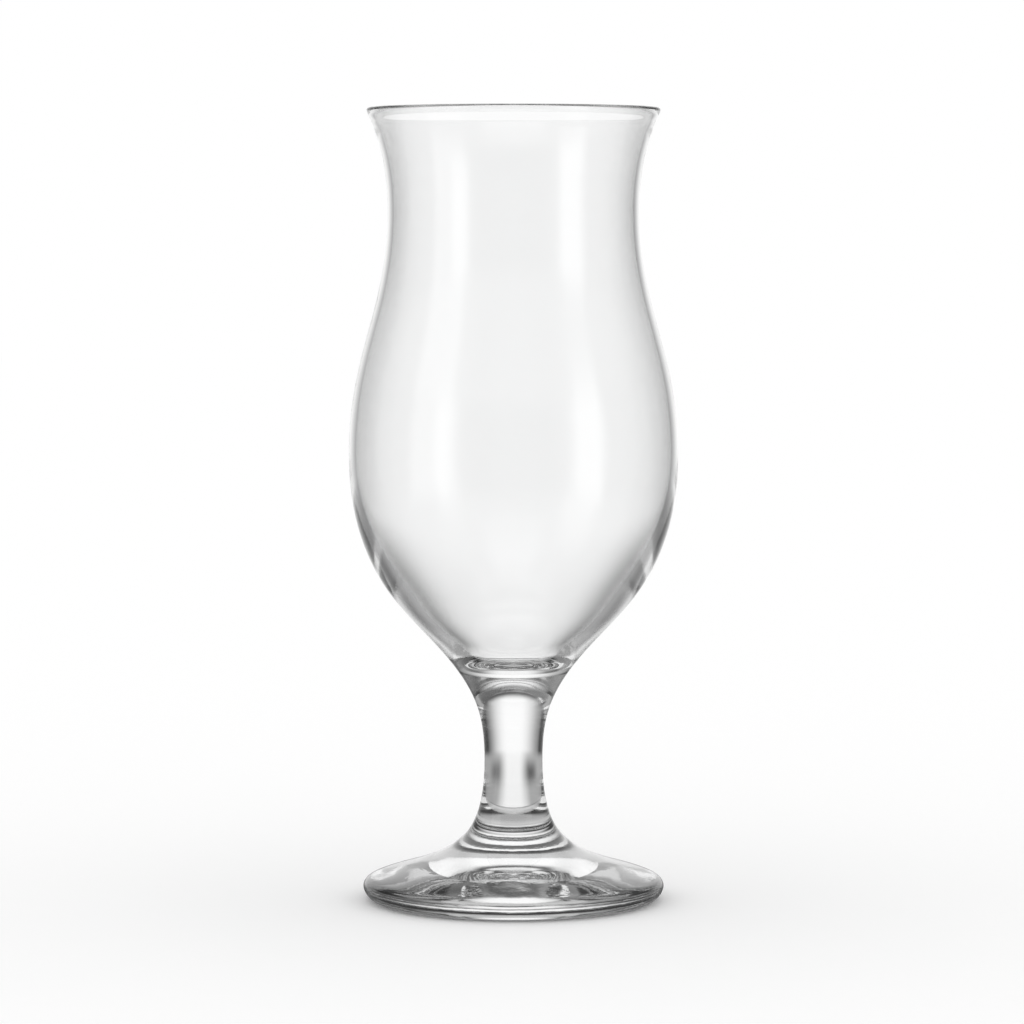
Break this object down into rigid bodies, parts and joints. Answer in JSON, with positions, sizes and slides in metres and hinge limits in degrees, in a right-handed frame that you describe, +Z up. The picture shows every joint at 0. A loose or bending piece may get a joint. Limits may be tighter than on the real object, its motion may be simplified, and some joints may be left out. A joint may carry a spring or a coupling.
{
  "type": "cocktail glass",
  "caption": "Clear footed cocktail glass: a waisted bowl with a flared lip, fused to a short solid stem and a thick round foot.",
  "frame": {"origin": "on the glass's axis, in the plane that the foot stands on", "axes": "+Z up along the axis, from the foot to the lip; X and Y level, with no preferred direction"},
  "size_m": [0.079, 0.079, 0.1902],
  "materials": {
    "clear_glass": "clear, colourless, fire-polished"
  },
  "bodies": {
    "root": {"bowl": "clear_glass", "stem": "clear_glass", "foot": "clear_glass"}
  },
  "joints": []
}
